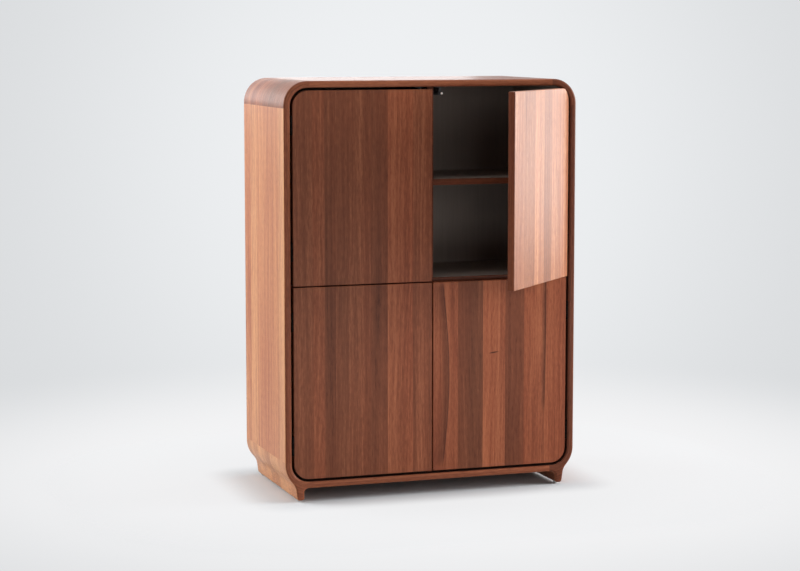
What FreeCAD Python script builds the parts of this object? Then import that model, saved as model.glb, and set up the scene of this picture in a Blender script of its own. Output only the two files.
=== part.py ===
import FreeCAD, Part
import math
import os
import Sketcher

# A walnut buffet cabinet: a rounded case on skid runners, four inset doors on butt hinges
# in their shadow gaps, shelves behind them and a push latch for each door.
# X runs to the right, Y to the back and Z up. The origin is on the floor under the middle of the case.

# Driving sizes, in millimetres and degrees.
SIZES = {
    # Case boards
    "case_width": 1000,
    "case_depth": 490,
    "case_height": 1350,
    "board_thick": 22,
    "corner_radius": 80,
    "corner_land": 6,
    "front_round": 8,
    "rim_round": 7,
    "back_round": 8,
    # Skid runners and glides
    "shoulder_radius": 86,
    "waist_radius": 49,
    "waist_angle": 43,
    "foot_slant": 8,
    "foot_height": 39,
    "foot_width": 23,
    "foot_fillet": 15,
    "toe_round": 9,
    "glide_height": 5,
    "glide_radius": 7,
    "glide_bevel": 1.5,
    "glide_inset": 29,
    "glide_sink": 1,
    # Splines and dowels
    "spline_thick": 6,
    "spline_reach": 12,
    "spline_stop": 40,
    "dowel_radius": 4,
    "dowel_in_face": 10,
    "dowel_in_end": 24,
    "dowel_spread": 150,
    "dowel_shift": 20,
    # Back panel
    "back_thick": 12,
    "back_inset": 8,
    "back_lap": 10,
    # Middle panel, dividers and shelves
    "inner_thick": 22,
    "inner_setback": 30,
    "lipping_thick": 8,
    "lipping_round": 1.5,
    "shelf_thick": 20,
    "shelf_setback": 43,
    "shelf_play": 1,
    "peg_radius": 2.5,
    "peg_depth": 8,
    "peg_head": 4,
    "peg_reach": 9,
    "peg_inset": 50,
    # Doors
    "door_thick": 22,
    "door_recess": 3,
    "edge_gap": 8,
    "centre_gap": 4,
    "seam_gap": 4,
    "door_round": 2,
    "door_corner": 3,
    "door_swing": 95,
    "open_angle": 46,
    # Butt hinges
    "hinge_inset": 110,
    "hinge_height": 60,
    "axis_back": 2,
    "knuckle_radius": 3,
    "knuckle_play": 0.3,
    "hinge_pin_radius": 1.5,
    "leaf_thick": 2,
    # Wood screws
    "screw_radius": 1.75,
    "screw_head": 3.5,
    "screw_head_height": 1.8,
    "screw_length": 14,
    "screw_margin": 6,
    "drive_width": 3.8,
    "drive_slot": 0.9,
    "drive_depth": 1.2,
    "back_screw_length": 30,
    "glide_screw_length": 20,
    # Push latches and strikes
    "latch_side": 35,
    "latch_drop": 22,
    "latch_front": 34,
    "latch_length": 70,
    "latch_end": 4,
    "latch_tube_radius": 7,
    "latch_web": 8,
    "latch_base_width": 30,
    "latch_base_thick": 3,
    "latch_travel": 20,
    "plunger_radius": 4,
    "plunger_length": 66,
    "tip_radius": 3.5,
    "tip_length": 4,
    "tip_gap": 0.3,
    "strike_radius": 8,
    "strike_thick": 1.5,
    "spigot_radius": 4,
    "spigot_length": 8,
    # Clearances
    "fit": 0.05,
    "overcut": 1,
}

# Places and sizes that follow from the driving sizes.
PLACES = {
    "half_width": "Sizes.case_width / 2",
    "front": "-Sizes.case_depth / 2",
    "back": "Sizes.case_depth / 2",
    "inner_x": "half_width - Sizes.board_thick",
    "ceiling": "Sizes.case_height - Sizes.board_thick",
    "underside": "Sizes.glide_height + Sizes.foot_height",
    "bay_floor": "underside + Sizes.board_thick",
    "seam": "(bay_floor + ceiling) / 2",
    # Corner joints
    "corner_leg": "Sizes.corner_radius + Sizes.corner_land",
    "joint_x": "half_width - corner_leg",
    "joint_high": "Sizes.case_height - corner_leg",
    "joint_low": "underside + corner_leg",
    "inner_radius": "Sizes.corner_radius - Sizes.board_thick",
    # Runner outline, measured inwards from the outside of the case
    "shoulder_in": "Sizes.shoulder_radius * (1 - cos(Sizes.waist_angle))",
    "shoulder_top": "joint_low - Sizes.corner_land",
    "shoulder_z": "shoulder_top - Sizes.shoulder_radius * sin(Sizes.waist_angle)",
    "waist_in": "shoulder_in + Sizes.waist_radius * (cos(Sizes.foot_slant) - cos(Sizes.waist_angle))",
    "waist_z": "shoulder_z - Sizes.waist_radius * (sin(Sizes.waist_angle) - sin(Sizes.foot_slant))",
    "toe_in": "waist_in + tan(Sizes.foot_slant) * (waist_z - Sizes.glide_height)",
    "heel_in": "toe_in + Sizes.foot_width",
    "glide_x": "half_width - (toe_in + heel_in) / 2",
    # Inside
    "back_face": "back - Sizes.back_inset - Sizes.back_thick",
    "panel_low": "seam - Sizes.inner_thick / 2",
    "panel_high": "seam + Sizes.inner_thick / 2",
    "inner_front": "front + Sizes.inner_setback",
    "core_front": "inner_front + Sizes.lipping_thick",
    "shelf_front": "front + Sizes.shelf_setback",
    "shelf_core_front": "shelf_front + Sizes.lipping_thick",
    "shelf_back": "back_face - Sizes.shelf_play",
    "shelf_inner_x": "Sizes.inner_thick / 2 + Sizes.shelf_play",
    "shelf_outer_x": "inner_x - Sizes.shelf_play",
    # Doors
    "door_front": "front + Sizes.door_recess",
    "door_back": "door_front + Sizes.door_thick",
    "door_edge": "inner_x - Sizes.edge_gap",
    "door_free": "Sizes.centre_gap / 2",
    "door_top": "ceiling - Sizes.edge_gap",
    "door_foot": "bay_floor + Sizes.edge_gap",
    "seam_up": "seam + Sizes.seam_gap / 2",
    "seam_down": "seam - Sizes.seam_gap / 2",
    "door_radius": "inner_radius - Sizes.edge_gap",
    # Hinges on the right-hand side, with the knuckles in the middle of the gap
    "axis_x": "door_edge + Sizes.edge_gap / 2",
    "axis_y": "door_front + Sizes.axis_back",
    "leaf_front": "axis_y + Sizes.knuckle_radius + Sizes.knuckle_play",
    "leaf_back": "door_back - Sizes.door_round",
    # Latches, with the closed plunger's tip just behind the strike
    "latch_y": "front + Sizes.latch_front",
    "latch_back": "latch_y + Sizes.latch_length",
    "strike_face": "door_back + Sizes.strike_thick",
    "tip_y": "strike_face + Sizes.tip_gap",
    "plunger_y": "tip_y + Sizes.tip_length",
    "rest_travel": "Sizes.latch_travel * Sizes.open_angle / Sizes.door_swing",
}

# Each door's side (1 is right) and level (1 is upper).
DOORS = {
    "upper_left": (-1, 1),
    "upper_right": (1, 1),
    "lower_left": (-1, -1),
    "lower_right": (1, -1),
}
OPEN_DOOR = "upper_right"
SIDES = {"left": -1, "right": 1}
BACK_SCREWS_UP = 4
BACK_SCREWS_ACROSS = 3
DOWELS_PER_END = 3

TOLERANCE = 1e-4
RIGHT, LEFT = (1, 0, 0), (-1, 0, 0)
BACKWARD, FORWARD = (0, 1, 0), (0, -1, 0)
UP, DOWN = (0, 0, 1), (0, 0, -1)

doc = FreeCAD.newDocument("BuffetCabinet")
nodes = {}


def fill_sheet(name, cells):
    """Adds a sheet with one aliased cell for each entry."""
    sheet = doc.addObject("Spreadsheet::Sheet", name)
    for row, (alias, content) in enumerate(cells.items(), 1):
        sheet.set(f"A{row}", alias)
        sheet.set(f"B{row}", content)
        sheet.setAlias(f"B{row}", alias)
    doc.recompute()
    return sheet


sizes = fill_sheet("Sizes", {alias: str(number) for alias, number in SIZES.items()})
places = fill_sheet("Places", {alias: "=" + formula for alias, formula in PLACES.items()})


def value(expression):
    """The number that an expression on the sheets stands for now."""
    return float(places.evalExpression(expression))


def bind(item, expressions):
    """Ties properties of an object to expressions."""
    for path, expression in expressions.items():
        item.setExpression(path, expression)


def place(item, at, axis=UP):
    """Turns an object's own Z to an axis and ties its position to three expressions."""
    rotation = FreeCAD.Rotation(FreeCAD.Vector(*UP), FreeCAD.Vector(*axis))
    item.Placement = FreeCAD.Placement(FreeCAD.Vector(), rotation)
    bind(item, {f"Placement.Base.{letter}": where for letter, where in zip("xyz", at)})


def keep(item):
    """Marks a finished piece, whose label names its file."""
    nodes[item.Label] = item
    return item


# Outlines and bodies


def arc_between(start, end, radius, turn):
    """The short arc from start to end that turns left (1) or right (-1)."""
    chord = end - start
    left = FreeCAD.Vector(-chord.y, chord.x, 0).normalize()
    rise = math.sqrt(radius**2 - (chord.Length / 2) ** 2)
    centre = (start + end) / 2 + left * rise * turn
    first, last = (start, end) if turn > 0 else (end, start)
    angles = [math.atan2(point.y - centre.y, point.x - centre.x) for point in (first, last)]
    if angles[1] < angles[0]:
        angles[1] += 2 * math.pi
    return Part.ArcOfCircle(Part.Circle(centre, FreeCAD.Vector(*UP), radius), *angles)


def draw_outline(sketch, corners):
    """Draws a closed outline whose corners and radii are tied to expressions.

    A corner is (x, y), or (x, y, radius, turn) where an arc leads on to the next corner.
    """
    points = [FreeCAD.Vector(value(corner[0]), value(corner[1]), 0) for corner in corners]
    starts = []
    for corner, point, following in zip(corners, points, points[1:] + points[:1]):
        if len(corner) == 2:
            sketch.addGeometry(Part.LineSegment(point, following))
            starts.append(1)
        else:
            sketch.addGeometry(arc_between(point, following, value(corner[2]), corner[3]))
            starts.append(1 if corner[3] > 0 else 2)
    for side, corner in enumerate(corners):
        following = (side + 1) % len(corners)
        end = 3 - starts[side]
        sketch.addConstraint(Sketcher.Constraint("Coincident", side, end, following, starts[following]))
        rules = [
            (Sketcher.Constraint("DistanceX", side, starts[side], points[side].x), corner[0]),
            (Sketcher.Constraint("DistanceY", side, starts[side], points[side].y), corner[1]),
        ]
        if len(corner) > 2:
            rules.append((Sketcher.Constraint("Radius", side, value(corner[2])), corner[2]))
        for rule, expression in rules:
            number = sketch.addConstraint(rule)
            sketch.setExpression(f"Constraints[{number}]", expression)


def prism(name, corners, front, back):
    """A body with an outline seen from the front, from one depth to another."""
    body = doc.addObject("PartDesign::Body", name)
    sketch = body.newObject("Sketcher::SketchObject", name + "_outline")
    plane = next(feature for feature in body.Origin.OriginFeatures if feature.Role == "XZ_Plane")
    sketch.AttachmentSupport = (plane, "")
    sketch.MapMode = "FlatFace"
    sketch.setExpression("AttachmentOffset.Base.z", f"-({back})")
    draw_outline(sketch, corners)
    pad = body.newObject("PartDesign::Pad", name + "_pad")
    pad.Profile = sketch
    pad.setExpression("Length", f"({back}) - ({front})")
    doc.recompute()
    return body


def rectangle(left, right, low, high):
    """Corners of a rectangle seen from the front."""
    return [(left, low), (right, low), (right, high), (left, high)]


def mirrored(side, inner, outer):
    """Left and right ends of a span that lies between two distances from the middle."""
    return (inner, outer) if side > 0 else (f"-({outer})", f"-({inner})")


def lies_on(edge, axis, expression):
    """Whether a whole edge lies in the plane where an axis has a value."""
    box = edge.BoundBox
    ends = {"x": (box.XMin, box.XMax), "y": (box.YMin, box.YMax), "z": (box.ZMin, box.ZMax)}[axis]
    return all(abs(end - value(expression)) < TOLERANCE for end in ends)


def round_edges(body, radius, wanted):
    """Rounds the edges of a body that a test picks."""
    base = body.Tip
    names = [f"Edge{number}" for number, edge in enumerate(base.Shape.Edges, 1) if wanted(edge)]
    fillet = body.newObject("PartDesign::Fillet", f"{body.Name}_round")
    fillet.Base = (base, names)
    fillet.setExpression("Radius", radius)
    doc.recompute()


def round_outline(body, face, radius, joints=(), wanted=lambda edge: True):
    """Rounds the wanted part of a body's outline at one depth, but not where it meets a joint plane."""

    def picked(edge):
        at_joint = any(lies_on(edge, *joint) for joint in joints)
        return lies_on(edge, "y", face) and not at_joint and wanted(edge)

    round_edges(body, radius, picked)


def round_corner(body, x, z, radius):
    """Rounds the edge that runs back from one corner of a front outline."""
    round_edges(body, radius, lambda edge: lies_on(edge, "x", x) and lies_on(edge, "z", z))


# Solids


def box(name, low, high, grow="0"):
    """A block between two corners, larger on every side by an amount."""
    block = doc.addObject("Part::Box", name)
    for size, letter, start, end in zip(("Length", "Width", "Height"), "xyz", low, high):
        block.setExpression(size, f"({end}) - ({start}) + 2 * ({grow})")
        block.setExpression(f"Placement.Base.{letter}", f"({start}) - ({grow})")
    return block


def cylinder(name, radius, length, at=("0", "0", "0"), axis=UP):
    """A round bar from a point along an axis."""
    bar = doc.addObject("Part::Cylinder", name)
    bind(bar, {"Radius": radius, "Height": length})
    place(bar, at, axis)
    return bar


def cone(name, radius, end_radius, length, at=("0", "0", "0"), axis=UP):
    """A tapered bar from a point along an axis."""
    taper = doc.addObject("Part::Cone", name)
    bind(taper, {"Radius1": radius, "Radius2": end_radius, "Height": length})
    place(taper, at, axis)
    return taper


def fuse(name, shapes):
    """One solid from several."""
    whole = doc.addObject("Part::MultiFuse", name)
    whole.Shapes = shapes
    return whole


def group(name, shapes):
    """Several solids side by side in one piece."""
    together = doc.addObject("Part::Compound", name)
    together.Links = shapes
    return together


def cut(name, base, tools):
    """A shape with others taken away."""
    rest = doc.addObject("Part::Cut", name)
    rest.Base = base
    rest.Tool = tools[0] if len(tools) == 1 else group(name + "_tools", tools)
    return rest


def link_to(name, master):
    """A copy of a shape that adds its own placement to the shape's."""
    link = doc.addObject("App::Link", name)
    link.LinkedObject = master
    link.LinkTransform = True
    return link


def copies(name, master, spots):
    """Copies of one shape, each turned to an axis at a position."""
    links = []
    for number, (at, axis) in enumerate(spots, 1):
        link = link_to(f"{name}_{number}", master)
        place(link, at, axis)
        links.append(link)
    return group(name, links)


def screw_pieces(name, length, grow="0"):
    """The countersunk head and the shank of a screw along Z, its head flush with the origin."""
    head = f"Sizes.screw_head + {grow}"
    shank = f"Sizes.screw_radius + {grow}"
    return [
        cone(name + "_head", head, shank, "Sizes.screw_head_height"),
        cylinder(name + "_shank", shank, f"{length} + {grow}"),
    ]


def cross_slots(name):
    """The crossed slots for a driver in a screw's head."""
    wide, narrow = "Sizes.drive_width / 2", "Sizes.drive_slot / 2"
    return [
        box(f"{name}_slot_{number}", (f"-{x}", f"-{y}", "-Sizes.overcut"), (x, y, "Sizes.drive_depth"))
        for number, (x, y) in enumerate(((wide, narrow), (narrow, wide)), 1)
    ]


def screw_and_hole(name, length):
    """A screw and the hole that it sits in."""
    blank = fuse(name + "_blank", screw_pieces(name, length))
    mouth_radius = "Sizes.screw_head + Sizes.fit"
    mouth = cylinder(name + "_hole_mouth", mouth_radius, "Sizes.overcut", axis=DOWN)
    hole = fuse(name + "_hole", [*screw_pieces(name + "_hole", length, "Sizes.fit"), mouth])
    return cut(name, blank, cross_slots(name)), hole


wood_screw, wood_screw_hole = screw_and_hole("wood_screw", "Sizes.screw_length")
back_screw, back_screw_hole = screw_and_hole("back_screw", "Sizes.back_screw_length")
glide_screw, glide_screw_hole = screw_and_hole("glide_screw", "Sizes.glide_screw_length")


# Splines in the corner joints


def build_splines():
    """Loose tongues across the joints of the corner pieces, and the grooves that take them."""
    half = "Sizes.spline_thick / 2"
    depth = ("Places.front + Sizes.spline_stop", "Places.back - Sizes.spline_stop")
    splines, grooves = [], {}
    for side_name, side in SIDES.items():
        board_x = f"{side} * (Places.half_width - Sizes.board_thick / 2)"
        joint_x = f"{side} * Places.joint_x"
        for level, joint_z, board_z in (
            ("top", "Places.joint_high", "Sizes.case_height - Sizes.board_thick / 2"),
            ("bottom", "Places.joint_low", "Places.underside + Sizes.board_thick / 2"),
        ):
            spans = {
                "upright": (board_x, half, joint_z, "Sizes.spline_reach"),
                "level": (joint_x, "Sizes.spline_reach", board_z, half),
            }
            for run, (x, x_half, z, z_half) in spans.items():
                low = (f"{x} - {x_half}", depth[0], f"{z} - {z_half}")
                high = (f"{x} + {x_half}", depth[1], f"{z} + {z_half}")
                name = f"{level}_{side_name}_{run}"
                splines.append(box(name + "_spline", low, high))
                grooves[level, side_name, run] = box(name + "_groove", low, high, "Sizes.fit")
    keep(group("corner_splines", splines))
    return grooves


# Dowels of the middle panel and the dividers


def build_dowels():
    """Dowels across the inner joints, and the holes that take them, by the joint's name."""
    length = "Sizes.dowel_in_face + Sizes.dowel_in_end"
    dowel = cylinder("dowel", "Sizes.dowel_radius", length, ("0", "0", "-Sizes.dowel_in_face"))
    radius = "Sizes.dowel_radius + Sizes.fit"
    hole_start = ("0", "0", "-Sizes.dowel_in_face - Sizes.fit")
    hole = cylinder("dowel_hole", radius, f"{length} + 2 * Sizes.fit", hole_start)
    middle = "(Places.core_front + Places.back_face) / 2"
    spots = {}
    for side_name, side in SIDES.items():
        spots["middle_" + side_name] = [
            ((f"{side} * Places.inner_x", f"{middle} + {step} * Sizes.dowel_spread", "Places.seam"),
             LEFT if side > 0 else RIGHT)
            for step in range(-(DOWELS_PER_END // 2), DOWELS_PER_END // 2 + 1)
        ]
    for joint, z, axis, step in (
        ("upper_top", "Places.ceiling", DOWN, "Sizes.dowel_shift"),
        ("upper_bottom", "Places.panel_high", UP, "Sizes.dowel_shift"),
        ("lower_top", "Places.panel_low", DOWN, "-Sizes.dowel_shift"),
        ("lower_bottom", "Places.bay_floor", UP, "-Sizes.dowel_shift"),
    ):
        spots[joint] = [
            (("0", f"{middle} + {way} * Sizes.dowel_spread / 2 + {step}", z), axis) for way in (-1, 1)
        ]
    keep(copies("panel_dowels", dowel, [spot for joint in spots.values() for spot in joint]))
    return {joint: copies(joint + "_dowel_holes", hole, where) for joint, where in spots.items()}


# Back panel


def build_back():
    """The back panel, the rebate that it sits in, and its screws by the board they hold to."""
    lap = "Sizes.back_lap"
    rear = "Places.back_face + Sizes.back_thick"

    def panel(name, grow, depth):
        outer = f"Places.inner_x + {lap} + {grow}"
        low = f"Places.bay_floor - {lap} - {grow}"
        high = f"Places.ceiling + {lap} + {grow}"
        body = prism(name, rectangle(f"-({outer})", outer, low, high), "Places.back_face", depth)
        for x in (f"-({outer})", outer):
            for z in (low, high):
                round_corner(body, x, z, f"Places.inner_radius + {lap} + {grow}")
        return body

    blank = panel("back_blank", "0", rear)
    rebate = panel("rebate", "Sizes.fit", "Places.back + Sizes.overcut")
    spots = {}
    for name, side in SIDES.items():
        x = f"{side} * (Places.inner_x + {lap} / 2)"
        share = [(step + 0.5) / BACK_SCREWS_UP for step in range(BACK_SCREWS_UP)]
        rise = "(Places.joint_high - Places.joint_low)"
        spots[name] = [((x, rear, f"Places.joint_low + {rise} * {part}"), FORWARD) for part in share]
    for name, z in (("top", f"Places.ceiling + {lap} / 2"), ("bottom", f"Places.bay_floor - {lap} / 2")):
        share = [(2 * step + 1) / BACK_SCREWS_ACROSS - 1 for step in range(BACK_SCREWS_ACROSS)]
        spots[name] = [((f"Places.joint_x * {part}", rear, z), FORWARD) for part in share]
    keep(copies("back_screws", back_screw, [spot for board in spots.values() for spot in board]))
    holes = {board: copies(board + "_back_holes", back_screw_hole, where) for board, where in spots.items()}
    keep(cut("back_panel", blank, list(holes.values())))
    return rebate, holes


# Hinge hardware, made once for the right-hand side and copied


def build_leaf(name, plate, tab, knuckles, cuts):
    """A hinge leaf: a plate along an edge, and the knuckles that it holds round the pin."""
    half = "Sizes.hinge_height / 2"
    low_corner = (plate[0], "Places.leaf_front", f"-{half}")
    shapes = [box(name + "_plate", low_corner, (plate[1], "Places.leaf_back", half))]
    for number, (low, high) in enumerate(knuckles, 1):
        near, far = (tab[0], "Places.axis_y", low), (tab[1], "Places.leaf_front", high)
        shapes.append(box(f"{name}_tab_{number}", near, far))
        start = ("Places.axis_x", "Places.axis_y", low)
        length = f"({high}) - ({low})"
        shapes.append(cylinder(f"{name}_knuckle_{number}", "Sizes.knuckle_radius", length, start))
    return cut(name, fuse(name + "_blank", shapes), cuts)


def build_hinge_masters():
    """The pieces of one hinge and its screw holes, with the hinge's middle at height zero."""
    half = "Sizes.hinge_height / 2"
    sixth = "Sizes.hinge_height / 6"
    play = "Sizes.knuckle_play / 2"
    axis = ("Places.axis_x", "Places.axis_y")
    bore_length = "Sizes.hinge_height + 2 * Sizes.overcut"
    bore_start = (*axis, f"-{half} - Sizes.overcut")
    bore = cylinder("pin_bore", "Sizes.hinge_pin_radius + Sizes.fit", bore_length, bore_start)

    # Screws through one leaf into the door's edge, and through the other into the side panel
    door_face = "Places.door_edge + Sizes.leaf_thick"
    case_face = "Places.inner_x - Sizes.leaf_thick"
    screw_y = "(Places.leaf_front + Places.leaf_back) / 2"
    screw_z = f"({half} - 2 * Sizes.screw_margin)"
    door_spots = [((door_face, screw_y, f"{way} * {screw_z}"), LEFT) for way in (-1, 1)]
    case_spots = [((case_face, screw_y, f"{way} * {screw_z}"), RIGHT) for way in (-1, 1)]
    door_holes = copies("door_leaf_holes", wood_screw_hole, door_spots)
    case_holes = copies("case_leaf_holes", wood_screw_hole, case_spots)

    # The door's leaf holds the middle knuckle, and the case's leaf the two outer ones
    door_leaf = build_leaf(
        "door_leaf",
        ("Places.door_edge", door_face),
        ("Places.door_edge", "Places.axis_x"),
        [(f"{play} - {sixth}", f"{sixth} - {play}")],
        [bore, door_holes],
    )
    case_leaf = build_leaf(
        "case_leaf",
        (case_face, "Places.inner_x"),
        ("Places.axis_x", "Places.inner_x"),
        [(f"-{half}", f"-{sixth} - {play}"), (f"{sixth} + {play}", half)],
        [bore, case_holes],
    )
    return {
        "door_leaf": door_leaf,
        "door_screws": copies("screws_in_door", wood_screw, door_spots),
        "door_holes": door_holes,
        "case_leaf": case_leaf,
        "case_screws": copies("screws_in_case", wood_screw, case_spots),
        "case_holes": case_holes,
        "pin": cylinder("hinge_pin", "Sizes.hinge_pin_radius", "Sizes.hinge_height", (*axis, f"-{half}")),
    }


def door_heights(level):
    """Lower and upper edge of a door."""
    if level > 0:
        return "Places.seam_up", "Places.door_top"
    return "Places.door_foot", "Places.seam_down"


def hinge_copies(name, master, side, level):
    """Two copies of a hinge piece on one door, turned half round the Y axis for a left-hand door."""
    low, high = door_heights(level)
    turn = FreeCAD.Rotation(FreeCAD.Vector(*BACKWARD), 0 if side > 0 else 180)
    links = []
    for end, z in (("low", f"{low} + Sizes.hinge_inset"), ("high", f"{high} - Sizes.hinge_inset")):
        link = link_to(f"{name}_{end}", master)
        link.Placement = FreeCAD.Placement(FreeCAD.Vector(), turn)
        link.setExpression("Placement.Base.z", z)
        links.append(link)
    return links


# Latches


def latch_height(level):
    """Underside of the panel that carries a latch."""
    return "Places.ceiling" if level > 0 else "Places.panel_low"


def latch_axis(side, level):
    """X and Z of a latch's axis."""
    return f"{side} * Sizes.latch_side", f"{latch_height(level)} - Sizes.latch_drop"


def build_latches():
    """Latch housings under the top and middle panels, their screws, and the holes in those panels."""
    half_base = "Sizes.latch_base_width / 2"
    half_web = "Sizes.latch_web / 2"
    base = box(
        "latch_base",
        (f"-{half_base}", "Places.latch_y", "-Sizes.latch_base_thick"),
        (half_base, "Places.latch_back", "0"),
    )
    web = box(
        "latch_web",
        (f"-{half_web}", "Places.latch_y", "-Sizes.latch_drop"),
        (half_web, "Places.latch_back", "0"),
    )
    axis_start = ("0", "Places.latch_y", "-Sizes.latch_drop")
    tube = cylinder("latch_tube", "Sizes.latch_tube_radius", "Sizes.latch_length", axis_start, BACKWARD)
    bore_length = "Sizes.latch_length - Sizes.latch_end"
    bore_radius = "Sizes.plunger_radius + Sizes.fit"
    bore = cylinder("latch_bore", bore_radius, bore_length, axis_start, BACKWARD)
    screw_x = f"({half_base} - Sizes.screw_margin)"
    screw_spots = [
        ((f"{way} * {screw_x}", f"{end} - {way} * 2 * Sizes.screw_margin", "-Sizes.latch_base_thick"), UP)
        for way, end in ((-1, "Places.latch_y"), (1, "Places.latch_back"))
    ]
    hole = copies("latch_holes", wood_screw_hole, screw_spots)
    pair = copies("latch_screw_pair", wood_screw, screw_spots)
    housing = cut("latch_housing", fuse("latch_blank", [base, web, tube]), [bore, hole])
    spots = {
        door: ((f"{side} * Sizes.latch_side", "0", latch_height(level)), UP)
        for door, (side, level) in DOORS.items()
    }
    keep(copies("latch_housings", housing, spots.values()))
    keep(copies("latch_screws", pair, spots.values()))
    upper = [spots[door] for door, (side, level) in DOORS.items() if level > 0]
    lower = [spots[door] for door, (side, level) in DOORS.items() if level < 0]
    return copies("top_latch_holes", hole, upper), copies("middle_latch_holes", hole, lower)


def build_plunger(door, side, level):
    """The sliding rod and its magnet tip, pushed out by as much as the door stands open."""
    x, z = latch_axis(side, level)
    out = " - Places.rest_travel" if door == OPEN_DOOR else ""
    rod_at = (x, "Places.plunger_y" + out, z)
    tip_at = (x, "Places.tip_y" + out, z)
    rod_radius = "Sizes.plunger_radius"
    keep(cylinder(door + "_plunger", rod_radius, "Sizes.plunger_length", rod_at, BACKWARD))
    keep(cylinder(door + "_magnet", "Sizes.tip_radius", "Sizes.tip_length", tip_at, BACKWARD))


# Doors


def swung(name, pieces, door):
    """A piece of a door as it stands at rest: the open door is turned about its hinge line."""
    if door != OPEN_DOOR:
        return group(name, pieces)
    link = link_to(name + "_open", group(name + "_closed", pieces))
    link.Placement = FreeCAD.Placement(FreeCAD.Vector(), FreeCAD.Rotation(FreeCAD.Vector(*UP), 1))
    x, y = "Places.axis_x", "Places.axis_y"
    cosine, sine = "cos(Sizes.open_angle)", "sin(Sizes.open_angle)"
    bind(link, {
        "Placement.Rotation.Angle": "Sizes.open_angle",
        "Placement.Base.x": f"{x} - {x} * {cosine} + {y} * {sine}",
        "Placement.Base.y": f"{y} - {x} * {sine} - {y} * {cosine}",
    })
    return group(name, [link])


def build_door(door, side, level, hinge):
    """One door with the pieces that ride on it: hinge leaves, their screws and the strike."""
    low, high = door_heights(level)
    left, right = mirrored(side, "Places.door_free", "Places.door_edge")
    outline = rectangle(left, right, low, high)
    blank = prism(door + "_blank", outline, "Places.door_front", "Places.door_back")
    round_x = f"{side} * Places.door_edge"
    round_z = high if level > 0 else low
    for x in (left, right):
        for z in (low, high):
            outer = abs(value(x) - value(round_x)) < TOLERANCE and z == round_z
            round_corner(blank, x, z, "Places.door_radius" if outer else "Sizes.door_corner")
    for face in ("Places.door_front", "Places.door_back"):
        round_outline(blank, face, "Sizes.door_round")

    x, z = latch_axis(side, level)
    strike_at = (x, "Places.door_back", z)
    strike = fuse(door + "_strike_whole", [
        cylinder(door + "_strike_disc", "Sizes.strike_radius", "Sizes.strike_thick", strike_at, BACKWARD),
        cylinder(door + "_strike_spigot", "Sizes.spigot_radius", "Sizes.spigot_length", strike_at, FORWARD),
    ])
    spigot_radius = "Sizes.spigot_radius + Sizes.fit"
    spigot_length = "Sizes.spigot_length + Sizes.fit"
    spigot_hole = cylinder(door + "_strike_hole", spigot_radius, spigot_length, strike_at, FORWARD)
    screw_holes = hinge_copies(door + "_leaf_hole", hinge["door_holes"], side, level)
    board = cut(door + "_board", blank, screw_holes + [spigot_hole])
    keep(swung(door + "_door", [board], door))
    keep(swung(door + "_strike", [strike], door))
    for label, master in (("hinge_leaves", "door_leaf"), ("leaf_screws", "door_screws")):
        parts = hinge_copies(f"{door}_{master}_copy", hinge[master], side, level)
        keep(swung(f"{door}_{label}", parts, door))


# Case


def faces_inside(edge):
    """Whether an edge belongs to the case's inner outline, round the doors and the back panel."""
    middle = edge.BoundBox.Center
    between = value("Places.bay_floor") - TOLERANCE < middle.z < value("Places.ceiling") + TOLERANCE
    return between and abs(middle.x) < value("Places.inner_x") + TOLERANCE


def round_case_piece(body, joints):
    """Rounds a case piece's outer outlines and its front rim, apart from its joints."""

    def outside(edge):
        return not faces_inside(edge)

    round_outline(body, "Places.front", "Sizes.front_round", joints, outside)
    round_outline(body, "Places.back", "Sizes.back_round", joints, outside)
    round_outline(body, "Places.front", "Sizes.rim_round", joints, faces_inside)


def build_side(name, side, cuts):
    """A side panel between the corner pieces."""
    left, right = mirrored(side, "Places.inner_x", "Places.half_width")
    outline = rectangle(left, right, "Places.joint_low", "Places.joint_high")
    blank = prism(name + "_side_blank", outline, "Places.front", "Places.back")
    round_case_piece(blank, [("z", "Places.joint_low"), ("z", "Places.joint_high")])
    keep(cut(name + "_side_panel", blank, cuts))


def build_flat(name, low, high, cuts):
    """The top or bottom panel between the corner pieces."""
    outline = rectangle("-Places.joint_x", "Places.joint_x", low, high)
    blank = prism(name + "_blank", outline, "Places.front", "Places.back")
    round_case_piece(blank, [("x", "-Places.joint_x"), ("x", "Places.joint_x")])
    keep(cut(name + "_panel", blank, cuts))


def build_top_corner(name, side, cuts):
    """A rounded corner piece between a side panel and the top panel."""

    def across(expression):
        return f"{side} * {expression}"

    joint, inner, outer = across("Places.joint_x"), across("Places.inner_x"), across("Places.half_width")
    corners = [
        (joint, "Sizes.case_height"),
        (outer, "Sizes.case_height"),
        (outer, "Places.joint_high"),
        (inner, "Places.joint_high"),
        (inner, "Places.ceiling"),
        (joint, "Places.ceiling"),
    ]
    blank = prism(f"top_{name}_blank", corners, "Places.front", "Places.back")
    round_corner(blank, outer, "Sizes.case_height", "Sizes.corner_radius")
    round_corner(blank, inner, "Places.ceiling", "Places.inner_radius")
    round_case_piece(blank, [("x", joint), ("z", "Places.joint_high")])
    keep(cut(f"top_{name}_corner", blank, cuts))


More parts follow.
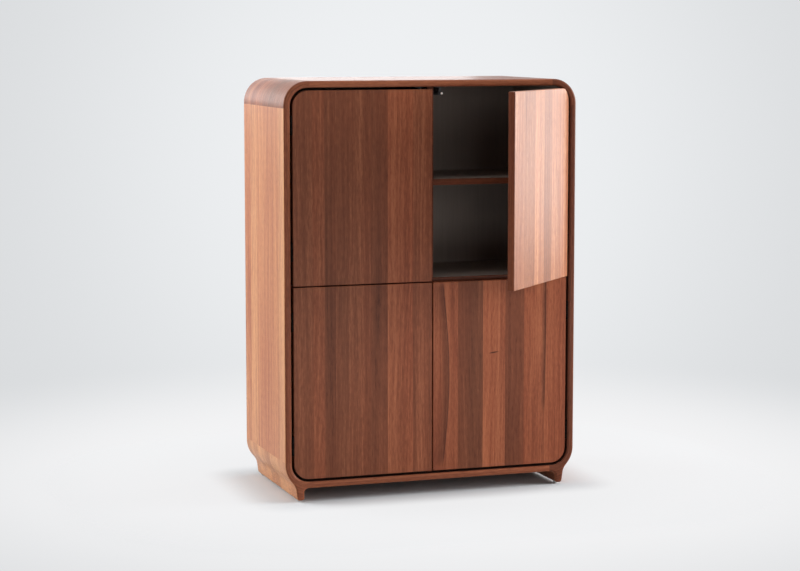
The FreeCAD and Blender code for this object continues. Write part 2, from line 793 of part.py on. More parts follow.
def build_runner(name, side, cuts):
    """A bottom corner piece that draws in to a waist and runs down to a skid foot."""

    def inwards(expression):
        return f"{side} * (Places.half_width - ({expression}))"

    joint, inner = f"{side} * Places.joint_x", f"{side} * Places.inner_x"
    bend = f"{side} * (Places.inner_x - Places.inner_radius)"
    heel = inwards("Places.heel_in")
    toe = inwards("Places.toe_in")
    corners = [
        (inwards("0"), "Places.joint_low"),
        (inwards("0"), "Places.shoulder_top", "Sizes.shoulder_radius", -side),
        (inwards("Places.shoulder_in"), "Places.shoulder_z", "Sizes.waist_radius", side),
        (inwards("Places.waist_in"), "Places.waist_z"),
        (toe, "Sizes.glide_height"),
        (heel, "Sizes.glide_height"),
        (heel, "Places.underside"),
        (joint, "Places.underside"),
        (joint, "Places.bay_floor"),
        (bend, "Places.bay_floor", "Places.inner_radius", side),
        (inner, "Places.bay_floor + Places.inner_radius"),
        (inner, "Places.joint_low"),
    ]
    blank = prism(f"{name}_runner_blank", corners, "Places.front", "Places.back")
    room = "Places.corner_leg - Places.heel_in - Sizes.corner_land"
    round_corner(blank, heel, "Places.underside", f"min(Sizes.foot_fillet; {room})")
    for x in (toe, heel):
        round_corner(blank, x, "Sizes.glide_height", "Sizes.toe_round")
    round_case_piece(blank, [("x", joint), ("z", "Places.joint_low")])
    keep(cut(f"{name}_runner", blank, cuts))


def build_glides():
    """Glides under the runners, their screws, and the screw holes by side."""
    bevel = "Sizes.glide_bevel"
    foot_radius = f"Sizes.glide_radius - {bevel}"
    body_height = f"Sizes.glide_height - {bevel}"
    blank = fuse("glide_blank", [
        cone("glide_foot", foot_radius, "Sizes.glide_radius", bevel),
        cylinder("glide_body", "Sizes.glide_radius", body_height, ("0", "0", bevel)),
    ])
    glide_hole = copies("glide_hole", glide_screw_hole, [(("0", "0", "Sizes.glide_sink"), UP)])
    glide = cut("glide", blank, [glide_hole])
    spots = {
        name: [
            ((f"{side} * Places.glide_x", y, "0"), UP)
            for y in ("Places.front + Sizes.glide_inset", "Places.back - Sizes.glide_inset")
        ]
        for name, side in SIDES.items()
    }
    all_spots = [spot for spot_pair in spots.values() for spot in spot_pair]
    raised = [((x, y, "Sizes.glide_sink"), axis) for (x, y, z), axis in all_spots]
    keep(copies("glides", glide, all_spots))
    keep(copies("glide_screws", glide_screw, raised))
    return {name: copies(name + "_glide_holes", glide_hole, where) for name, where in spots.items()}


# Inside


def lipping(name, outline, front):
    """A walnut edge with rounded front corners, in front of a panel or shelf."""
    strip = prism(name, outline, front, f"{front} + Sizes.lipping_thick")
    round_outline(strip, front, "Sizes.lipping_round")
    return strip


def build_shelves():
    """Four shelves with lippings on pegs, and the peg holes by the wall that they are in."""
    head = cylinder("peg_head", "Sizes.peg_head", "Sizes.peg_reach")
    shank = cylinder("peg_shank", "Sizes.peg_radius", "Sizes.peg_depth", axis=DOWN)
    peg = fuse("peg", [head, shank])
    hole_radius = "Sizes.peg_radius + Sizes.fit"
    hole = cylinder("peg_hole", hole_radius, "Sizes.peg_depth + Sizes.fit", axis=DOWN)
    lippings, spots = [], {}
    for door, (side, level) in DOORS.items():
        middle = "(Places.bay_floor + Places.panel_low) / 2"
        if level > 0:
            middle = "(Places.panel_high + Places.ceiling) / 2"
        low, high = f"{middle} - Sizes.shelf_thick / 2", f"{middle} + Sizes.shelf_thick / 2"
        left, right = mirrored(side, "Places.shelf_inner_x", "Places.shelf_outer_x")
        outline = rectangle(left, right, low, high)
        keep(prism(door + "_shelf", outline, "Places.shelf_core_front", "Places.shelf_back"))
        lippings.append(lipping(door + "_lipping", outline, "Places.shelf_front"))
        peg_z = f"{low} - Sizes.peg_head - Sizes.fit"
        wall = "left" if side < 0 else "right"
        inward, outward = (LEFT, RIGHT) if side > 0 else (RIGHT, LEFT)
        for y in ("Places.shelf_core_front + Sizes.peg_inset", "Places.shelf_back - Sizes.peg_inset"):
            spots.setdefault(wall, []).append(((f"{side} * Places.inner_x", y, peg_z), inward))
            divider = "upper" if level > 0 else "lower"
            spots.setdefault(divider, []).append(((f"{side} * Sizes.inner_thick / 2", y, peg_z), outward))
    keep(group("shelf_lippings", lippings))
    keep(copies("shelf_pegs", peg, [spot for wall in spots.values() for spot in wall]))
    return {wall: copies(wall + "_peg_holes", hole, where) for wall, where in spots.items()}


def build_inner_panels(dowel_holes, peg_holes, middle_latch_holes):
    """The fixed middle panel and the two dividers, with their lippings."""
    half = "Sizes.inner_thick / 2"
    outlines = {
        "middle": rectangle("-Places.inner_x", "Places.inner_x", "Places.panel_low", "Places.panel_high"),
        "upper": rectangle(f"-{half}", half, "Places.panel_high", "Places.ceiling"),
        "lower": rectangle(f"-{half}", half, "Places.bay_floor", "Places.panel_low"),
    }
    cuts = {
        "middle": [
            dowel_holes["middle_left"],
            dowel_holes["middle_right"],
            dowel_holes["upper_bottom"],
            dowel_holes["lower_top"],
            middle_latch_holes,
        ],
        "upper": [dowel_holes["upper_top"], dowel_holes["upper_bottom"], peg_holes["upper"]],
        "lower": [dowel_holes["lower_top"], dowel_holes["lower_bottom"], peg_holes["lower"]],
    }
    labels = {"middle": "middle_panel", "upper": "upper_divider", "lower": "lower_divider"}
    for name, label in labels.items():
        blank = prism(label + "_blank", outlines[name], "Places.core_front", "Places.back_face")
        keep(cut(label, blank, cuts[name]))
    edges = [lipping(name + "_edge", outline, "Places.inner_front") for name, outline in outlines.items()]
    keep(group("panel_lippings", edges))


def build_cabinet():
    """Builds every piece of the cabinet."""
    grooves = build_splines()
    dowel_holes = build_dowels()
    rebate, back_holes = build_back()
    peg_holes = build_shelves()
    glide_holes = build_glides()
    top_latch_holes, middle_latch_holes = build_latches()
    build_inner_panels(dowel_holes, peg_holes, middle_latch_holes)

    hinge = build_hinge_masters()
    case_pieces = {"case_hinge_leaves": "case_leaf", "hinge_pins": "pin", "case_leaf_screws": "case_screws"}
    fixed = {label: [] for label in case_pieces}
    leaf_holes = {name: [] for name in SIDES}
    for door, (side, level) in DOORS.items():
        build_door(door, side, level, hinge)
        build_plunger(door, side, level)
        for label, master in case_pieces.items():
            fixed[label] += hinge_copies(f"{door}_{master}_copy", hinge[master], side, level)
        wall = "left" if side < 0 else "right"
        leaf_holes[wall] += hinge_copies(door + "_case_hole", hinge["case_holes"], side, level)
    for label, pieces in fixed.items():
        keep(group(label, pieces))

    for name, side in SIDES.items():
        top_upright, top_level = grooves["top", name, "upright"], grooves["top", name, "level"]
        low_upright, low_level = grooves["bottom", name, "upright"], grooves["bottom", name, "level"]
        side_cuts = [rebate, top_upright, low_upright, back_holes[name], peg_holes[name]]
        build_side(name, side, side_cuts + [dowel_holes["middle_" + name]] + leaf_holes[name])
        build_top_corner(name, side, [rebate, top_upright, top_level])
        build_runner(name, side, [rebate, low_upright, low_level, glide_holes[name]])
    top_grooves = [grooves["top", name, "level"] for name in SIDES]
    top_cuts = top_grooves + [rebate, back_holes["top"], dowel_holes["upper_top"], top_latch_holes]
    build_flat("top", "Places.ceiling", "Sizes.case_height", top_cuts)
    bottom_grooves = [grooves["bottom", name, "level"] for name in SIDES]
    bottom_cuts = bottom_grooves + [rebate, back_holes["bottom"], dowel_holes["lower_bottom"]]
    build_flat("bottom", "Places.underside", "Places.bay_floor", bottom_cuts)


def export():
    """Checks every object and piece, then writes one file for each piece."""
    doc.recompute()
    failed = [item.Label for item in doc.Objects if {"Invalid", "Error"} & set(item.State)]
    if failed:
        raise RuntimeError(f"these objects failed: {failed}")
    for label, piece in nodes.items():
        if piece.Shape.isNull() or not piece.Shape.isValid():
            raise RuntimeError(f"{label} has no valid shape")
    os.makedirs("parts", exist_ok=True)
    for label, piece in nodes.items():
        piece.Shape.exportStep(f"parts/{label}.step")
        print(f"{label}: {len(piece.Shape.Solids)} solids, {piece.Shape.Volume / 1000:.1f} cm3")


build_cabinet()
export()
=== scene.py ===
"""Looks of a walnut buffet cabinet: its finishes, the studio around it and the camera."""
import logging
import math
from dataclasses import dataclass, replace
from enum import Enum
from typing import Any, Iterable, Mapping, Sequence, Union

import bpy
from mathutils import Matrix, Vector

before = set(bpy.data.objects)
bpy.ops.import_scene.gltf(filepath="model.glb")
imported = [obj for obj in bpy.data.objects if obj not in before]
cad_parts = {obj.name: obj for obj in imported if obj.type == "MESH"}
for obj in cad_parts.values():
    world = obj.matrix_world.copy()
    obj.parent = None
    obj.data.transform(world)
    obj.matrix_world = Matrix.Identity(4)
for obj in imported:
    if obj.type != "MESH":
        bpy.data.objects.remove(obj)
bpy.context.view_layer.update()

LOG = logging.getLogger("cabinet")

Triple = tuple[float, float, float]
RampStops = Sequence[tuple[float, Sequence[float]]]
Operand = Union["Signal", float]
SocketKey = Union[str, int]


def linear(red: int, green: int, blue: int) -> Triple:
    """Turns a colour as seen on a screen into the linear one that shaders use.

    Args:
        red: Red from 0 to 255.
        green: Green from 0 to 255.
        blue: Blue from 0 to 255.

    Returns:
        The three linear values, from 0 to 1.
    """
    shares = [channel / 255 for channel in (red, green, blue)]
    return tuple(s / 12.92 if s <= 0.04045 else ((s + 0.055) / 1.055) ** 2.4 for s in shares)


def shaded(colour: Triple, share: float) -> Triple:
    """A share of a colour's brightness."""
    return (colour[0] * share, colour[1] * share, colour[2] * share)


def opaque(colour: Sequence[float]) -> tuple[float, float, float, float]:
    """Adds full opacity to a colour."""
    return (colour[0], colour[1], colour[2], 1.0)


# Node graphs


class Signal:
    """A value on a socket, for Python expressions that add Math nodes."""

    def __init__(self, graph: "Graph", socket: bpy.types.NodeSocket) -> None:
        """Wraps a socket of a graph."""
        self.graph = graph
        self.socket = socket

    def __add__(self, other: Operand) -> "Signal":
        """This plus another."""
        return self.graph.math("ADD", self, other)

    def __radd__(self, other: Operand) -> "Signal":
        """Another plus this."""
        return self.graph.math("ADD", other, self)

    def __sub__(self, other: Operand) -> "Signal":
        """This minus another."""
        return self.graph.math("SUBTRACT", self, other)

    def __rsub__(self, other: Operand) -> "Signal":
        """Another minus this."""
        return self.graph.math("SUBTRACT", other, self)

    def __mul__(self, other: Operand) -> "Signal":
        """This times another."""
        return self.graph.math("MULTIPLY", self, other)

    def __rmul__(self, other: Operand) -> "Signal":
        """Another times this."""
        return self.graph.math("MULTIPLY", other, self)

    def __truediv__(self, other: Operand) -> "Signal":
        """This divided by another."""
        return self.graph.math("DIVIDE", self, other)

    def __rtruediv__(self, other: Operand) -> "Signal":
        """Another divided by this."""
        return self.graph.math("DIVIDE", other, self)

    def __abs__(self) -> "Signal":
        """This without its sign."""
        return self.graph.math("ABSOLUTE", self)


class Graph:
    """Adds nodes to one node tree and links them."""

    def __init__(self, tree: bpy.types.NodeTree) -> None:
        """Empties a tree and keeps it."""
        self.tree = tree
        tree.nodes.clear()

    def node(
        self, kind: str, settings: Mapping[str, Any], sockets: Mapping[SocketKey, Any]
    ) -> bpy.types.Node:
        """Adds a node.

        Args:
            kind: The node's type.
            settings: Properties to set first; "stops" and "blend" fill a ramp.
            sockets: Values or signals, by the socket's number, identifier or name.

        Returns:
            The new node.
        """
        made = self.tree.nodes.new(kind)
        for name, setting in settings.items():
            if name == "stops":
                self._fill_ramp(made.color_ramp, setting)
            elif name == "blend":
                made.color_ramp.interpolation = setting
            else:
                setattr(made, name, setting)
        for key, given in sockets.items():
            socket = self._find(made.inputs, key)
            if isinstance(given, Signal):
                self.tree.links.new(given.socket, socket)
            else:
                socket.default_value = given
        return made

    @staticmethod
    def _fill_ramp(ramp: bpy.types.ColorRamp, stops: RampStops) -> None:
        """Sets a ramp's stops, given as positions and colours.

        Args:
            ramp: The ramp to fill.
            stops: Positions from 0 to 1, each with its colour.
        """
        while len(ramp.elements) < len(stops):
            ramp.elements.new(1.0)
        for element, (position, colour) in zip(ramp.elements, stops):
            element.position = position
            element.color = opaque(colour)

    @staticmethod
    def _find(sockets: Iterable[bpy.types.NodeSocket], key: SocketKey) -> bpy.types.NodeSocket:
        """Finds a socket by its number, identifier or name.

        Args:
            sockets: A node's inputs or outputs.
            key: The number, identifier or name.

        Returns:
            The socket.
        """
        if isinstance(key, int):
            return sockets[key]
        for socket in sockets:
            if socket.identifier == key:
                return socket
        return sockets[key]

    def out(self, node: bpy.types.Node, key: SocketKey = 0) -> Signal:
        """The signal on one of a node's outputs."""
        return Signal(self, self._find(node.outputs, key))

    def math(self, operation: str, *operands: Operand) -> Signal:
        """The result of a Math node."""
        return self.out(self.node("ShaderNodeMath", {"operation": operation}, dict(enumerate(operands))))

    def vector(self, operation: str, *operands: Any, result: str = "Vector") -> Signal:
        """The result of a Vector Math node."""
        made = self.node("ShaderNodeVectorMath", {"operation": operation}, dict(enumerate(operands)))
        return self.out(made, result)

    def place(self) -> Signal:
        """A point of the surface in the object's own frame."""
        return self.out(self.node("ShaderNodeTexCoord", {}, {}), "Object")

    def combine(self, x: Operand, y: Operand, z: Operand) -> Signal:
        """A vector from three values."""
        return self.out(self.node("ShaderNodeCombineXYZ", {}, {0: x, 1: y, 2: z}))

    def split(self, vector: Signal) -> tuple[Signal, Signal, Signal]:
        """The three values of a vector."""
        made = self.node("ShaderNodeSeparateXYZ", {}, {0: vector})
        return self.out(made, 0), self.out(made, 1), self.out(made, 2)

    def along(self, point: Signal, axis: Triple) -> Signal:
        """How far a point lies along an axis."""
        return self.vector("DOT_PRODUCT", point, axis, result="Value")

    def noise(
        self, point: Signal, stretch: Triple, detail: float = 2.0, roughness: float = 0.5
    ) -> Signal:
        """Soft noise from 0 to 1.

        Args:
            point: Where the noise is read.
            stretch: Grains to the metre along each axis.
            detail: Layers of finer noise.
            roughness: Share of the finer layers.

        Returns:
            The noise's value.
        """
        scaled = self.vector("MULTIPLY", point, stretch)
        sockets = {"Vector": scaled, "Scale": 1.0, "Detail": detail, "Roughness": roughness}
        return self.out(self.node("ShaderNodeTexNoise", {"noise_dimensions": "3D"}, sockets))

    def smooth(self, signal: Signal, low: float, high: float) -> Signal:
        """Rises softly from 0 at one value to 1 at another."""
        sockets = {"Value": signal, "From Min": low, "From Max": high, "To Min": 0.0, "To Max": 1.0}
        return self.out(self.node("ShaderNodeMapRange", {"interpolation_type": "SMOOTHSTEP"}, sockets))

    def ramp(self, signal: Signal, stops: RampStops, blend: str = "LINEAR") -> Signal:
        """A colour picked from a ramp."""
        settings = {"stops": stops, "blend": blend}
        return self.out(self.node("ShaderNodeValToRGB", settings, {"Fac": signal}), "Color")

    def mix(self, share: Operand, first: Any, second: Any, blend: str = "MIX") -> Signal:
        """A colour between two.

        Args:
            share: How much of the second, from 0 to 1.
            first: A colour or a signal.
            second: A colour or a signal.
            blend: How the second is laid over the first.

        Returns:
            The mixed colour.
        """
        colours = {
            key: value if isinstance(value, Signal) else opaque(value)
            for key, value in (("A_Color", first), ("B_Color", second))
        }
        settings = {"data_type": "RGBA", "blend_type": blend, "clamp_factor": True}
        made = self.node("ShaderNodeMix", settings, {"Factor_Float": share, **colours})
        return self.out(made, "Result_Color")

    def bump(self, height: Signal, distance: float, strength: float = 1.0) -> Signal:
        """A normal that follows a height, with the height's full size in metres."""
        sockets = {"Strength": strength, "Distance": distance, "Height": height}
        return self.out(self.node("ShaderNodeBump", {}, sockets), "Normal")

    def surface(self, sockets: Mapping[SocketKey, Any]) -> None:
        """Ends a material in one shader with these socket values."""
        shader = self.out(self.node("ShaderNodeBsdfPrincipled", {}, sockets))
        self.node("ShaderNodeOutputMaterial", {}, {"Surface": shader})


def new_material(name: str) -> tuple[bpy.types.Material, Graph]:
    """A material with an empty graph.

    Args:
        name: The material's name.

    Returns:
        The material and its graph.
    """
    material = bpy.data.materials.new(name)
    material.use_nodes = True
    return material, Graph(material.node_tree)


# Wood


ANTHRACITE = linear(146, 133, 124)


class Run(Enum):
    """How a board lies: its axes across the staves, through the board and along the grain."""

    DOOR = ((1, 0, 0), (0, 1, 0), (0, 0, 1))
    SIDE = ((0, 1, 0), (1, 0, 0), (0, 0, 1))
    LEVEL = ((0, 1, 0), (0, 0, 1), (1, 0, 0))
    EDGE = ((0, 0, 1), (0, 1, 0), (1, 0, 0))


@dataclass(frozen=True)
class Bend:
    """A corner that the grain follows round.

    Attributes:
        side: 1 on the right and -1 on the left.
        height: Height of the bend's middle.
        middle: Distance of the bend's middle from the middle of the case.
        radius: Radius at which the grain has its true length.
    """

    side: int
    height: float
    middle: float = 0.42
    radius: float = 0.08


@dataclass(frozen=True)
class Lining:
    """The inner faces of the case, behind its front rim: dark lacquer inside, and painted shade on the
    gap faces round the doors.

    Attributes:
        half_width: Half the straight part of the ceiling.
        half_height: Half the straight part of the walls.
        middle: Height of the middle of the inside.
        reach: Just over the inside corners' radius.
        front: Depth at which the lining begins, with painted shade on the gap faces first.
        rebate: Depth of the doors' backs, in front of which the gap faces get painted shade.
    """

    half_width: float = 0.42
    half_height: float = 0.573
    middle: float = 0.697
    reach: float = 0.0586
    front: float = -0.2425
    rebate: float = -0.22

    # painted shade: the dark colour of the gap faces in front of the doors' backs
    GAP_SHADE = linear(66, 42, 34)
    DULL_SHARE = 0.72
    FRONT_BLUR = 0.001
    REBATE_BLUR = 0.004

    def mask(self, graph: Graph, point: Signal) -> Signal:
        """1 on the lacquered faces and on the gap faces with painted shade, and 0 elsewhere.

        Args:
            graph: The material's nodes.
            point: A point of the surface.

        Returns:
            The mask.
        """
        x, y, z = graph.split(point)
        sideways = graph.math("MAXIMUM", abs(x) - self.half_width, 0.0)
        upwards = graph.math("MAXIMUM", abs(z - self.middle) - self.half_height, 0.0)
        distance = graph.math("SQRT", sideways * sideways + upwards * upwards)
        behind = graph.smooth(y, self.front - self.FRONT_BLUR, self.front + self.FRONT_BLUR)
        return graph.math("LESS_THAN", distance, self.reach) * behind

    def lacquer(self, graph: Graph, point: Signal, fibre: Signal) -> Signal:
        """The lacquer's colour, with painted shade on the gap faces in front of the doors' backs.

        Args:
            graph: The material's nodes.
            point: A point of the surface.
            fibre: The wood's fibre, which just shows.

        Returns:
            The colour.
        """
        _, depth, _ = graph.split(point)
        plain = graph.mix(fibre, shaded(ANTHRACITE, self.DULL_SHARE), ANTHRACITE)
        # painted shade: the gap faces in front of the doors' backs are darkened
        inside = graph.smooth(depth, self.rebate - self.REBATE_BLUR, self.rebate + self.REBATE_BLUR)
        return graph.mix(inside, self.GAP_SHADE, plain)


@dataclass(frozen=True)
class Stave:
    """One stave of a glued board.

    Attributes:
        width: Width in metres.
        tone: From 0, dark heartwood, to 1, pale.
        red: From 0, grey brown, to 1, red brown.
        pith: How far the tree's middle lies to one side, in metres.
        depth: How far the tree's middle lies behind the face, in metres.
    """

    width: float
    tone: float
    red: float
    pith: float = 0.09
    depth: float = 0.05

    def darker(self, amount: float) -> "Stave":
        """The same stave in a darker tone."""
        return replace(self, tone=self.tone - amount)


@dataclass(frozen=True)
class HeartLine:
    """A dark line that wanders along a board.

    Attributes:
        across: Its place across the board at its ends, in metres.
        sway: How far it bows out at half its length.
        low: Where it ends, along the grain.
        high: Where it starts, along the grain.
        width: Half its width where it starts.
        taper: Share of the width that is lost at its lower end.
        shade: Width of the darker wood on its near side.
    """

    across: float
    sway: float
    low: float
    high: float
    width: float
    taper: float
    shade: float


@dataclass(frozen=True)
class Knot:
    """A short dark fleck: its place across and along, and half its length and height."""

    across: float
    along: float
    length: float
    height: float


@dataclass(frozen=True)
class Turn:
    """A turn about an upright line, by which a piece stands away from its shut place."""

    axis: Triple
    angle: float


@dataclass(frozen=True)
class Layer:
    """One layer of the grain: noise drawn out along the board.

    Attributes:
        stretch: Grains to the metre across, through and along the board.
        weight: How far it moves a tone between dark and pale.
        detail: Layers of finer noise.
        roughness: Share of the finer layers.
    """

    stretch: Triple
    weight: float
    detail: float = 2.0
    roughness: float = 0.5

    def read(self, graph: Graph, grain: Signal) -> Signal:
        """The layer's noise, from 0 to 1."""
        return graph.noise(grain, self.stretch, self.detail, self.roughness)

    def shift(self, noise: Signal) -> Signal:
        """How far the noise moves a tone up or down."""
        return self.weight * (noise - 0.5)


@dataclass(frozen=True)
class Walnut:
    """Oiled solid walnut, glued from staves.

    Attributes:
        name: The material's name.
        run: How the board lies, or the bend that its grain follows.
        staves: The staves in order.
        start: Where the first stave begins, across the board.
        lines: Dark lines in the heartwood.
        knots: Small flecks.
        turn: How far the piece stands away from the place where its staves were laid out.
        lining: Faces that are lacquered dark, with painted shade on the gap faces.
        roughness: How matt the oil is, from 0 to 1.
    """

    name: str
    run: Union[Run, Bend]
    staves: tuple[Stave, ...]
    start: float
    lines: tuple[HeartLine, ...] = ()
    knots: tuple[Knot, ...] = ()
    turn: Union[Turn, None] = None
    lining: Union[Lining, None] = None
    roughness: float = 0.36

    BROWN = (
        (0.0, linear(64, 37, 26)),
        (0.4, linear(116, 70, 49)),
        (0.7, linear(160, 104, 75)),
        (1.0, linear(208, 152, 109)),
    )
    RED = (
        (0.0, linear(76, 36, 23)),
        (0.4, linear(138, 73, 49)),
        (0.7, linear(182, 107, 73)),
        (1.0, linear(222, 158, 107)),
    )
    LINE_COLOUR = linear(50, 26, 20)
    LINE_SHARE = 0.75
    KNOT_COLOUR = linear(58, 27, 20)
    KNOT_SHARE = 0.85
    PORE_COLOUR = linear(58, 34, 26)
    PORE_SHARE = 0.4
    PORE_EDGES = (0.58, 0.74)
    PORE_DEPTH = 0.8
    DRIFT = Layer((3.0, 3.0, 1.1), 0.25)
    BAND = Layer((16.0, 16.0, 0.4), 0.36)
    STREAK = Layer((85.0, 85.0, 1.1), 0.4, 3.0, 0.6)
    FIBRE = Layer((330.0, 330.0, 6.0), 0.3, 3.0, 0.6)
    FLECK = Layer((240.0, 240.0, 45.0), 0.3)
    HUE = Layer((14.0, 14.0, 0.5), 0.75)
    PORES = Layer((1300.0, 1300.0, 36.0), 1.0, 1.0)
    RING_WEIGHT = 0.06
    FIBRE_MATT = 0.12
    PORE_MATT = 0.1
    SHEEN = 0.12
    RELIEF = 0.00012
    PITH_REACH = 0.4
    STAVE_STEP = 3.7
    RING_SPACING = 0.0075
    RING_TAPER = 0.012
    RING_DRIFT = 0.05
    KNOT_SLOPE = 0.12

    def make(self) -> bpy.types.Material:
        """Builds the material.

        Returns:
            The finished material.
        """
        material, graph = new_material(self.name)
        point = self._laid_out(graph)
        across, through, along = self._grain_axes(graph, point)
        tone, red, number = self._stave_values(graph, across)
        step = number * self.STAVE_STEP
        grain = graph.combine(across + step, through - step, along + step)
        drift = self.DRIFT.read(graph, grain)
        fibre = self.FIBRE.read(graph, grain)
        pore = graph.smooth(self.PORES.read(graph, grain), *self.PORE_EDGES)
        rings = self._rings(graph, across, through, along, drift)
        value = tone + self.DRIFT.shift(drift) + self.FIBRE.shift(fibre)
        for layer in (self.BAND, self.STREAK, self.FLECK):
            value = value + layer.shift(layer.read(graph, grain))
        value = value + self.RING_WEIGHT * (rings - 0.5)
        hue = red + self.HUE.shift(self.HUE.read(graph, grain))
        colour = graph.mix(hue, graph.ramp(value, self.BROWN), graph.ramp(value, self.RED))
        for line in self.lines:
            mask = self._line_mask(graph, line, across, along)
            colour = graph.mix(mask * self.LINE_SHARE, colour, self.LINE_COLOUR)
        for knot in self.knots:
            mask = self._knot_mask(graph, knot, across, along)
            colour = graph.mix(mask * self.KNOT_SHARE, colour, self.KNOT_COLOUR)
        colour = graph.mix(pore * self.PORE_SHARE, colour, self.PORE_COLOUR, "MULTIPLY")
        # the lining: dark lacquer, and painted shade on the gap faces
        if self.lining is not None:
            lacquer = self.lining.lacquer(graph, point, fibre)
            colour = graph.mix(self.lining.mask(graph, point), colour, lacquer)
        graph.surface({
            "Base Color": colour,
            "Roughness": self.roughness + self.FIBRE_MATT * (fibre - 0.5) + self.PORE_MATT * pore,
            "Specular IOR Level": self.SHEEN,
            "Normal": graph.bump(fibre - self.PORE_DEPTH * pore, self.RELIEF),
        })
        return material

    def _grain_axes(self, graph: Graph, point: Signal) -> tuple[Signal, Signal, Signal]:
        """How far a point lies across the staves, through the board and along the grain.

        Args:
            graph: The material's nodes.
            point: A point of the surface.

        Returns:
            The three distances in metres.
        """
        if isinstance(self.run, Run):
            across, through, along = (graph.along(point, axis) for axis in self.run.value)
            return across, through, along
        x, y, z = graph.split(point)
        outwards = self.run.side * x - self.run.middle
        upwards = z - self.run.height
        through = graph.math("SQRT", outwards * outwards + upwards * upwards)
        return y, through, graph.math("ARCTAN2", upwards, outwards) * self.run.radius

    def _laid_out(self, graph: Graph) -> Signal:
        """The point where the surface was when its staves were laid out.

        Args:
            graph: The material's nodes.

        Returns:
            The point.
        """
        point = graph.place()
        if self.turn is None:
            return point
        back = {"Vector": point, "Location": self.turn.axis, "Rotation": (0, 0, self.turn.angle)}
        local = graph.out(graph.node("ShaderNodeMapping", {"vector_type": "TEXTURE"}, back))
        return graph.vector("ADD", local, self.turn.axis)

    def _stops(self) -> list[tuple[float, Stave, float]]:
        """Each stave's start and middle as shares of the board's width.

        Returns:
            The start, the stave and its middle, for each stave in order.
        """
        total = sum(stave.width for stave in self.staves)
        stops, begin = [], 0.0
        for stave in self.staves:
            stops.append((begin / total, stave, (begin + stave.width / 2) / total))
            begin += stave.width
        return stops

    def _share(self, across: Signal) -> Signal:
        """How far across the board a point lies, from 0 to 1."""
        return (across - self.start) / sum(stave.width for stave in self.staves)

    def _stave_values(self, graph: Graph, across: Signal) -> tuple[Signal, Signal, Signal]:
        """A stave's tone, redness and number, the last from 0 to 1.

        Args:
            graph: The material's nodes.
            across: How far a point lies across the staves.

        Returns:
            The three values.
        """
        count = len(self.staves)
        stops = [
            (position, (stave.tone, stave.red, (number + 0.5) / count))
            for number, (position, stave, _) in enumerate(self._stops())
        ]
        return graph.split(graph.ramp(self._share(across), stops, "CONSTANT"))

    def _rings(
        self, graph: Graph, across: Signal, through: Signal, along: Signal, drift: Signal
    ) -> Signal:
        """Growth rings about each stave's own pith, as 0 to 1.

        Args:
            graph: The material's nodes.
            across: How far a point lies across the staves.
            through: How far it lies through the board.
            along: How far it lies along the grain.
            drift: Slow noise that makes the rings wander.

        Returns:
            The rings' value.
        """
        width = sum(stave.width for stave in self.staves)
        stops = [
            (position, (middle, 0.5 + stave.pith / self.PITH_REACH, stave.depth / self.PITH_REACH))
            for position, stave, middle in self._stops()
        ]
        middle, pith, depth = graph.split(graph.ramp(self._share(across), stops, "CONSTANT"))
        sideways = across - self.start - middle * width - (pith - 0.5) * self.PITH_REACH
        inwards = through + depth * self.PITH_REACH
        radius = graph.math("SQRT", sideways * sideways + inwards * inwards)
        turns = (radius + self.RING_DRIFT * drift - self.RING_TAPER * along) / self.RING_SPACING
        saw = graph.math("FRACT", turns)
        return graph.smooth(saw, 0.0, 0.7) * (1 - graph.smooth(saw, 0.82, 1.0))

    def _line_mask(self, graph: Graph, line: HeartLine, across: Signal, along: Signal) -> Signal:
        """Where a dark line runs.

        Args:
            graph: The material's nodes.
            line: The line.
            across: How far a point lies across the staves.
            along: How far it lies along the grain.

        Returns:
            1 on the line and 0 elsewhere.
        """
        share = (along - line.low) / (line.high - line.low)
        inside = graph.math("MINIMUM", graph.math("MAXIMUM", share, 0.0), 1.0)
        bow = graph.math("SINE", inside * math.pi) * line.sway
        half = line.width * ((1 - line.taper) + line.taper * inside)
        offset = across - self.start - line.across - bow
        ends = graph.smooth(share, -0.02, 0.08) * (1 - graph.smooth(share, 0.96, 1.02))
        core = 1 - graph.smooth(abs(offset) / half, 0.3, 1.0)
        shade = graph.smooth(offset, -line.shade, 0.0) * (1 - graph.smooth(offset, 0.0, 0.001))
        return graph.math("MAXIMUM", core, shade * 0.7) * ends

    def _knot_mask(self, graph: Graph, knot: Knot, across: Signal, along: Signal) -> Signal:
        """Where a small fleck lies.

        Args:
            graph: The material's nodes.
            knot: The fleck.
            across: How far a point lies across the staves.
            along: How far it lies along the grain.

        Returns:
            1 on it and 0 elsewhere.
        """
        offset = across - self.start - knot.across
        sideways = offset / knot.length
        upwards = (along - knot.along - self.KNOT_SLOPE * offset) / knot.height
        reach = graph.math("SQRT", sideways * sideways + upwards * upwards)
        return 1 - graph.smooth(reach, 0.4, 1.0)


# Other finishes


@dataclass(frozen=True)
class Lacquer:
    """Dark matt lacquer on board, through which the grain just shows.

    Attributes:
        name: The material's name.
        colour: Its brighter tone.
        grain: Grains to the metre along each axis.
        outside: Depth beyond which the board is out of sight and darker.
    """

    name: str
    colour: Triple
    grain: Triple
    outside: float = 1.0

    OUTSIDE_SHADE = (0.3, 0.3, 0.3)
    CLOUD = (5.0, 5.0, 5.0)
    DARK_SHARE = 0.6
    SHEEN = 0.4
    RELIEF = 0.00005

    def make(self) -> bpy.types.Material:
        """Builds the material.

        Returns:
            The finished material.
        """
        material, graph = new_material(self.name)
        point = graph.place()
        fibre = graph.noise(point, self.grain, 3.0, 0.6)
        cloud = graph.noise(point, self.CLOUD)
        dark = shaded(self.colour, self.DARK_SHARE)
        colour = graph.mix(0.65 * fibre + 0.35 * cloud, dark, self.colour)
        _, depth, _ = graph.split(point)
        hidden = graph.math("GREATER_THAN", depth, self.outside)
        graph.surface({
            "Base Color": graph.mix(hidden, colour, self.OUTSIDE_SHADE, "MULTIPLY"),
            "Roughness": 0.46 + 0.1 * fibre,
            "Specular IOR Level": self.SHEEN,
            "Normal": graph.bump(fibre, self.RELIEF),
        })
        return material


